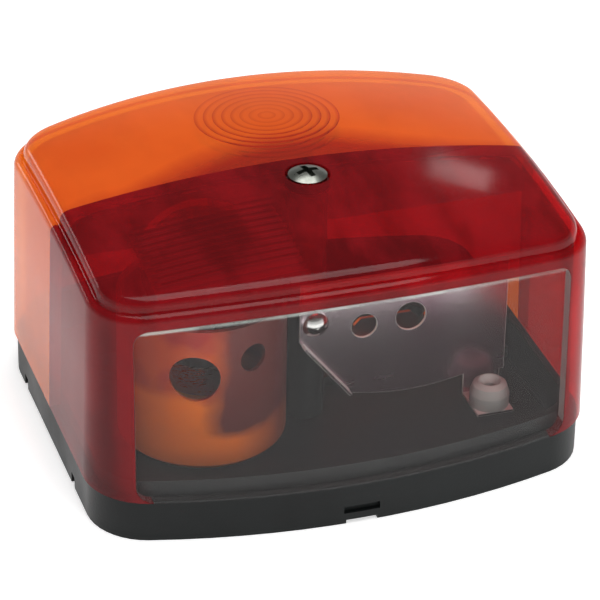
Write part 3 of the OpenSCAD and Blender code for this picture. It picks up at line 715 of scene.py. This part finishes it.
def window_prism(shrink):
    """A prism through the front wall with the window's outline, smaller all round by shrink."""
    w, r, low = WINDOW_W / 2 - shrink, WINDOW_R - shrink, SEAT_Z + shrink - 0.01

    def corner(start, cx, cz):
        turns = [math.radians(a) for a in range(start, start + 91, 9)]
        return [(cx + r * math.cos(t), cz + r * math.sin(t)) for t in turns]

    side, high = w - r, window_top(w - r) - shrink - r
    outline = corner(270, side, low + r) + corner(0, side, high)
    outline += [(i / 20 * side, window_top(i / 20 * side) - shrink) for i in range(19, -20, -1)]
    outline += corner(90, -side, high) + corner(180, -side, low + r)
    levels = [
        lambda i: (outline[i][0], -HALF_D / 2, outline[i][1]),
        lambda i: (outline[i][0], -HALF_D * 1.5, outline[i][1]),
    ]
    return loft("window_prism", len(outline), levels, "faces")


def lathe(name, profile, stations=64, centre=(0, 0)):
    """Turns a profile of (radius, z) about an upright axis, from axis to axis or back to its start."""
    rows = profile if profile[0][0] == 0 else profile + profile[:1]

    def ring(r, z):
        return lambda i: (
            centre[0] + r * math.cos(2 * math.pi * i / stations),
            centre[1] + r * math.sin(2 * math.pi * i / stations),
            z,
        )

    return loft(name, stations, [ring(r, z) for r, z in rows], "join")


# Lens: one shell, parted at the seam, with the window's opening and the screw's seat cut out
shell = lens_shell()
amber = halve(copy_of(shell, "amber_shell"), SEAM_Y, True)
front = halve(shell, SEAM_Y, False)
pane = carve(copy_of(front, "window_pane"), window_prism(WINDOW_GAP), "INTERSECT")
red = carve(front, window_prism(0))
red.name = red.data.name = "red_shell"
seat = lathe(
    "seat_cutter",
    [(0, WASHER_UNDER), (SEAT_D / 2, WASHER_UNDER), (SEAT_D / 2, ABOVE_ALL), (0, ABOVE_ALL)],
    64,
    (0, SCREW_Y),
)
carve(red, seat)
finish_piece(amber, AMBER, "amber_plastic", "amber_lens")
finish_piece(red, RED, "red_plastic", "red_lens")
finish_piece(pane, CLEAR, "clear_plastic", "plate_window")
pane.data.materials.append(EDGE_HIGHLIGHT)
# The top and side edge faces take the painted edge highlight
for face in pane.data.polygons:
    face.material_index = int(abs(face.normal.y) < 0.25 and face.normal.z > -0.3)


def amber_rings():
    """Stepped rings that follow the underside of the amber dome."""
    stations, pitch, count = 96, RING_PITCH, RING_COUNT
    centre_r, riser, thin, thick, skin_gap = 0.05, 0.12, 0.12, 0.95, 0.02
    profile = [(centre_r, 0.5)]
    for i in range(1, count + 1):
        profile += [(i * pitch - riser, thin), (i * pitch, thin if i == count else thick)]

    def ring(r, drop):
        def place(i):
            x = r * math.cos(2 * math.pi * i / stations)
            y = INDICATOR_Y + r * math.sin(2 * math.pi * i / stations)
            return x, y, crown(x, y) - LENS_WALL - drop

        return place

    profile += [(count * pitch, skin_gap), (centre_r, skin_gap)]
    profile += profile[:1]
    rings = loft("amber_rings", stations, [ring(r, d) for r, d in profile], "join")
    return finish_piece(rings, AMBER_RINGS, "amber_plastic", angle=25)


def red_prisms():
    """Parallel ridges under the red dome."""
    ridge, valley, thickness = 0.95, 0.35, 0.3
    deselect()
    bpy.ops.mesh.primitive_grid_add(x_subdivisions=16, y_subdivisions=2 * RIDGES, size=2)
    pad = bpy.context.object
    pad.name = pad.data.name = "red_prisms"
    rows = sorted({round(v.co.y, 4) for v in pad.data.vertices})
    for v in pad.data.vertices:
        row = rows.index(round(v.co.y, 4))
        x = PAD_X + v.co.x * RIDGE_LEN / 2
        y = PAD_Y + (row - RIDGES) * RIDGE_PITCH / 2
        v.co = Vector((x, y, crown(x, y) - LENS_WALL - (ridge if row % 2 else valley))) * MM
    modify(pad, "SOLIDIFY", thickness=thickness * MM, offset=1)
    return finish_piece(pad, RED_RIDGES, "red_plastic", angle=20)


def red_rib():
    """Rib along the seam, arched over the stop bulb."""
    depth, thickness, middle_y, bulb_gap = 12, 1.6, SEAM_Y - 0.9, 0.8
    reach = HALF_W - WALL_INSET - LENS_WALL
    low = LAMP_H - LENS_WALL - depth
    deselect()
    bpy.ops.mesh.primitive_cube_add(size=1)
    rib = bpy.context.object
    rib.name = rib.data.name = "red_rib"
    modify(rib, "SUBSURF", subdivision_type="SIMPLE", levels=5, render_levels=5)
    for v in rib.data.vertices:
        x = 2 * v.co.x * reach
        # The top bends down over the last 5 mm, inside the lens's rounded corners
        top = crown(x, SEAM_Y) - LENS_WALL - 0.05 - max(0, abs(x) - reach + 5) ** 2 * 0.13
        v.co = Vector((x, middle_y + thickness * v.co.y, low + (v.co.z + 0.5) * (top - low))) * MM
    r = GLASS_D / 2 + bulb_gap
    ring = [
        (STOP_X + r * math.cos(2 * math.pi * i / 64), GLOBE_Z + r * math.sin(2 * math.pi * i / 64))
        for i in range(64)
    ]
    arch = loft(
        "arch_cutter",
        64,
        [lambda i: (ring[i][0], -6, ring[i][1]), lambda i: (ring[i][0], 4, ring[i][1])],
        "faces",
    )
    carve(rib, arch)
    return finish_piece(rib, RED_INSIDE, "red_plastic", angle=30)


def red_tube():
    """Tube of the red lens that stands on the base's pillar and takes the screw."""
    top = crown(0, SCREW_Y) - LENS_WALL
    tube = lathe(
        "red_tube",
        [(SHANK_HOLE_R, PILLAR_TOP), (PILLAR_D / 2 - 0.25, PILLAR_TOP),
         (PILLAR_D / 2, PILLAR_TOP + 0.25), (PILLAR_D / 2, top - 1.0),
         (PILLAR_D / 2 + 0.4, top - 0.02), (SHANK_HOLE_R, top - 0.02)],
        64,
        (0, SCREW_Y),
    )
    return finish_piece(tube, RED_INSIDE, "red_plastic")


amber_rings()
red_prisms()
red_rib()
red_tube()


def softened(node, width, slot, angle=30):
    """A copy of a solid with its sharp edges rounded off, as sheet and mouldings have them."""
    piece = copy_of(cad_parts[node], node + "_softened")
    pick(piece)
    bpy.ops.object.mode_set(mode="EDIT")
    bpy.ops.mesh.select_all(action="SELECT")
    bpy.ops.mesh.remove_doubles(threshold=1e-7)
    bpy.ops.mesh.dissolve_limited(angle_limit=math.radians(1))
    bpy.ops.object.mode_set(mode="OBJECT")
    modify(piece, "BEVEL", width=width * MM, segments=3, limit_method="ANGLE",
           angle_limit=math.radians(angle), use_clamp_overlap=True)
    finish_piece(piece, NODE_FINISHES[node], slot, node)
    return modify(piece, "WEIGHTED_NORMAL", weight=100, keep_sharp=True)


plate = softened("glare_plate", 0.26, "tinned_plate")
plate.data.materials.append(SHEARED_HIGHLIGHT)
# Its edge and bevel faces take the near-white finish, a painted highlight along the edges
for face in plate.data.polygons:
    face.material_index = int(abs(face.normal.y) < 0.98)
softened("base_tray", 0.25, "base_plastic")


# Floor and light: the rays that see the floor white, the ceiling's brightness, and the lamps
# as name, radiance, size, place, aim and whether gloss mirrors them
SEEN_BY = ("Is Camera Ray", "Is Glossy Ray", "Is Transmission Ray")
CEILING = 0.2
SOFTBOXES = (
    ("overhead", 3.4, (0.9, 0.7), (0.05, 0.0, 0.9), (0, 0, 0.03), True),
    ("right softbox", 3.6, (0.07, 0.06), (0.45, 0.74, 0.49), (0, 0, 0.06), True),
    ("left strip", 3.0, (0.5, 0.16), (-0.52, 0.82, 0.28), (0, 0, 0.05), True),
    ("front fill", 6.5, (0.6, 0.4), (0.1, -0.95, 0.45), (0, 0, 0.03), False),
)


def studio():
    deselect()
    bpy.ops.mesh.primitive_plane_add(size=8, location=(0, 0, -0.05 * MM))
    floor = bpy.context.object
    floor.name = "floor"
    f = Finish("pale floor")
    path = f.add("ShaderNodeLightPath").socket.node
    seen = sum(Value(f, path.outputs[kind]) for kind in SEEN_BY)
    surface = f.principled(
        Base_Color=rgb(0.93, 0.93, 0.93),
        Roughness=0.9,
        Emission_Color=f.mix(seen * 0.45, rgb(0, 0, 0), rgb(1, 1, 1)),
        Emission_Strength=1.0,
    )
    # From below the floor is clear, so that the underside shows
    below = f.add("ShaderNodeNewGeometry", output="Backfacing")
    clear = f.add("ShaderNodeBsdfTransparent")
    surface = f.add("ShaderNodeMixShader", {}, {0: below, 1: surface, 2: clear})
    floor.data.materials.append(f.done(surface))

    # White sweep round the horizon, darker ceiling; the camera sees white all over
    world = bpy.data.worlds.new("studio")
    bpy.context.scene.world = world
    world.use_nodes = True
    nodes, links = world.node_tree.nodes, world.node_tree.links
    nodes.clear()

    def node(kind, output, settings, inputs):
        made = nodes.new(kind)
        for key, value in settings.items():
            setattr(made, key, value)
        for key, value in inputs.items():
            if isinstance(value, bpy.types.NodeSocket):
                links.new(value, made.inputs[key])
            else:
                made.inputs[key].default_value = value
        return made.outputs[output]

    place = node("ShaderNodeTexCoord", "Generated", {}, {})
    height = node("ShaderNodeSeparateXYZ", "Z", {}, {0: place})
    path = nodes.new("ShaderNodeLightPath")

    def fades_from(brightness):
        """A brightness at the horizon that fades to the ceiling's higher up."""
        return node("ShaderNodeMapRange", 0, {"interpolation_type": "SMOOTHSTEP"},
                    {"Value": height, "From Min": 0.16, "From Max": 0.42,
                     "To Min": brightness, "To Max": CEILING})

    # Gloss and glass see the white only near the horizon, as under a dim ceiling
    mirrored = node("ShaderNodeMath", 0, {"operation": "MAXIMUM"},
                    {0: path.outputs["Is Glossy Ray"], 1: path.outputs["Is Transmission Ray"]})
    mirrored = node("ShaderNodeMath", 0, {"operation": "MULTIPLY"}, {0: mirrored, 1: fades_from(1.0)})
    seen = node("ShaderNodeMath", 0, {"operation": "MAXIMUM"},
                {0: mirrored, 1: path.outputs["Is Camera Ray"]})
    strength = node("ShaderNodeMath", 0, {"operation": "MAXIMUM"}, {0: fades_from(0.9), 1: seen})
    background = node("ShaderNodeBackground", 0, {}, {"Strength": strength})
    out = nodes.new("ShaderNodeOutputWorld")
    links.new(background, out.inputs["Surface"])

    for name, radiance, size, place, aim, in_gloss in SOFTBOXES:
        data = bpy.data.lights.new(name, "AREA")
        data.shape = "RECTANGLE"
        data.size, data.size_y = size
        data.energy = radiance * math.pi * size[0] * size[1]
        lamp = bpy.data.objects.new(name, data)
        bpy.context.collection.objects.link(lamp)
        lamp.location = place
        lamp.rotation_euler = (Vector(aim) - Vector(place)).to_track_quat("-Z", "Y").to_euler()
        lamp.visible_camera = False
        lamp.visible_glossy = in_gloss


studio()
bpy.context.scene.cycles.transparent_max_bounces = 32
view = bpy.context.scene.view_settings
view.view_transform = "Standard"
